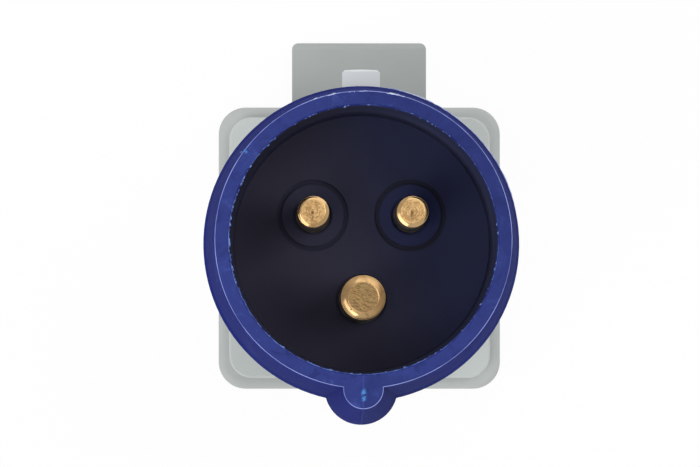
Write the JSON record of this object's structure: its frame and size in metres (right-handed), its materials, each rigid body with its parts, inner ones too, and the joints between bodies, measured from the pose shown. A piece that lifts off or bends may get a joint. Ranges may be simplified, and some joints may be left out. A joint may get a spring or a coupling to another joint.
{
  "type": "industrial plug adapter",
  "caption": "Round drafted plug sleeve with a key rib and brass pins, on a grey neck that ends in a square flange with a sprung lid over a domestic outlet.",
  "frame": {"origin": "on the plug's axis, at the flat rear face of the lid", "axes": "+Z along the plug's axis towards the mouth of the sleeve, +Y towards the retention lug and the thumb tab, +X to the right when looking into the mouth with the lug up"},
  "size_m": [0.0508, 0.0635, 0.092],
  "materials": {
    "blue_plastic": "moulded blue polyamide, semi-gloss",
    "grey_plastic": "moulded light-grey polyamide, satin",
    "lid_plastic": "moulded light-grey polyamide, satin",
    "inner_plastic": "moulded thermoset, satin",
    "pin_brass": "turned brass, bright",
    "strip_brass": "stamped brass strip",
    "steel": "zinc-plated steel",
    "spring_steel": "drawn spring steel",
    "seal_rubber": "black sealing rubber"
  },
  "bodies": {
    "body": {"plug_shroud": "blue_plastic", "line_pin": "pin_brass", "neutral_pin": "pin_brass", "earth_pin": "pin_brass", "pin_retainer": "inner_plastic", "retainer_screws": "steel", "terminal_screws": "steel", "line_link": "strip_brass", "neutral_link": "strip_brass", "earth_yoke": "strip_brass", "neck_seal": "seal_rubber", "housing": "grey_plastic", "socket_insert": "inner_plastic", "line_contact": "strip_brass", "neutral_contact": "strip_brass", "clamp_screws": "steel", "hinge_pin": "steel", "lid_spring": "spring_steel"},
    "lid": {"lid": "lid_plastic", "lid_gasket": "seal_rubber"}
  },
  "joints": [
    {"name": "lid_hinge", "type": "hinge", "parent": "body", "child": "lid", "pos_m": [0, -0.0254, 0.0074], "axis": [-1, 0, 0], "range_deg": [0, 180], "stiffness_Nm_per_rad": 0.02, "springref_deg": -28.65, "deforming": ["lid_spring"]}
  ]
}
